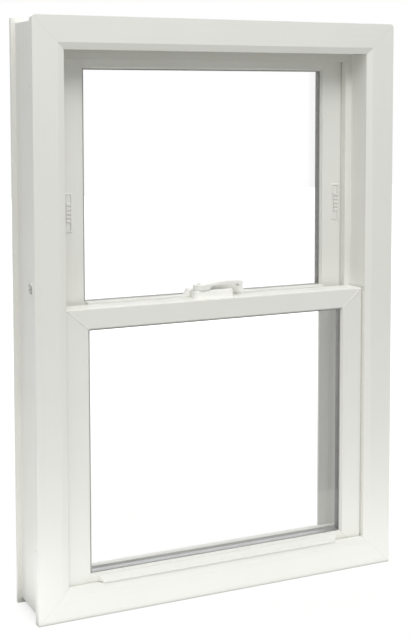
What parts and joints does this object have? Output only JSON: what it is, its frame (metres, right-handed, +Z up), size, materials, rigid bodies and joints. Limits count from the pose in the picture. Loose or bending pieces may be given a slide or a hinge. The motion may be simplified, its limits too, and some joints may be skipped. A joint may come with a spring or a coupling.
{
  "type": "double_hung_window",
  "caption": "White vinyl double hung window with a mitred frame, two glazed tilt sashes, a cam lock on the meeting rails, vent latches and a finger lift rail",
  "frame": {"origin": "centre of the window's footprint, on the level its sill rests on", "axes": "+X to the right seen from the room, +Y from the room side to the weather side, +Z up"},
  "size_m": [0.47, 0.0826, 0.686],
  "materials": {
    "white_vinyl": "satin",
    "white_hardware": "semi gloss",
    "clear_glass": "clear",
    "spacer_aluminium": "mill",
    "zinc": "plated"
  },
  "bodies": {
    "window": {"frame_left_jamb": "white_vinyl", "frame_right_jamb": "white_vinyl", "frame_head": "white_vinyl", "frame_sill": "white_vinyl", "inner_track_cover_left": "white_vinyl", "inner_track_cover_right": "white_vinyl", "outer_track_cover_left": "white_vinyl", "outer_track_cover_right": "white_vinyl", "weather_sill": "white_vinyl", "weather_stop_left": "white_vinyl", "weather_stop_right": "white_vinyl", "weather_stop_head": "white_vinyl", "lower_sash_left_stile": "white_vinyl", "lower_sash_right_stile": "white_vinyl", "lower_sash_bottom_rail": "white_vinyl", "lower_sash_top_rail": "white_vinyl", "upper_sash_left_stile": "white_vinyl", "upper_sash_right_stile": "white_vinyl", "upper_sash_top_rail": "white_vinyl", "upper_sash_meeting_rail": "white_vinyl", "lower_inner_pane": "clear_glass", "lower_outer_pane": "clear_glass", "upper_inner_pane": "clear_glass", "upper_outer_pane": "clear_glass", "lower_glass_spacer": "spacer_aluminium", "upper_glass_spacer": "spacer_aluminium", "lift_rail": "white_vinyl", "lock_base": "white_hardware", "lock_keeper": "white_hardware", "vent_latch_bezel_left": "white_hardware", "vent_latch_bezel_right": "white_hardware", "vent_latch_slide_left": "white_hardware", "vent_latch_slide_right": "white_hardware", "jamb_adjuster_left": "zinc", "jamb_adjuster_right": "zinc"},
    "lever": {"lock_lever": "white_hardware"}
  },
  "joints": [
    {"name": "lock_lever_swing", "type": "hinge", "parent": "window", "child": "lever", "pos_m": [-0.021, -0.0153, 0.3658], "axis": [0, 0, -1], "range_deg": [0, 170]}
  ]
}
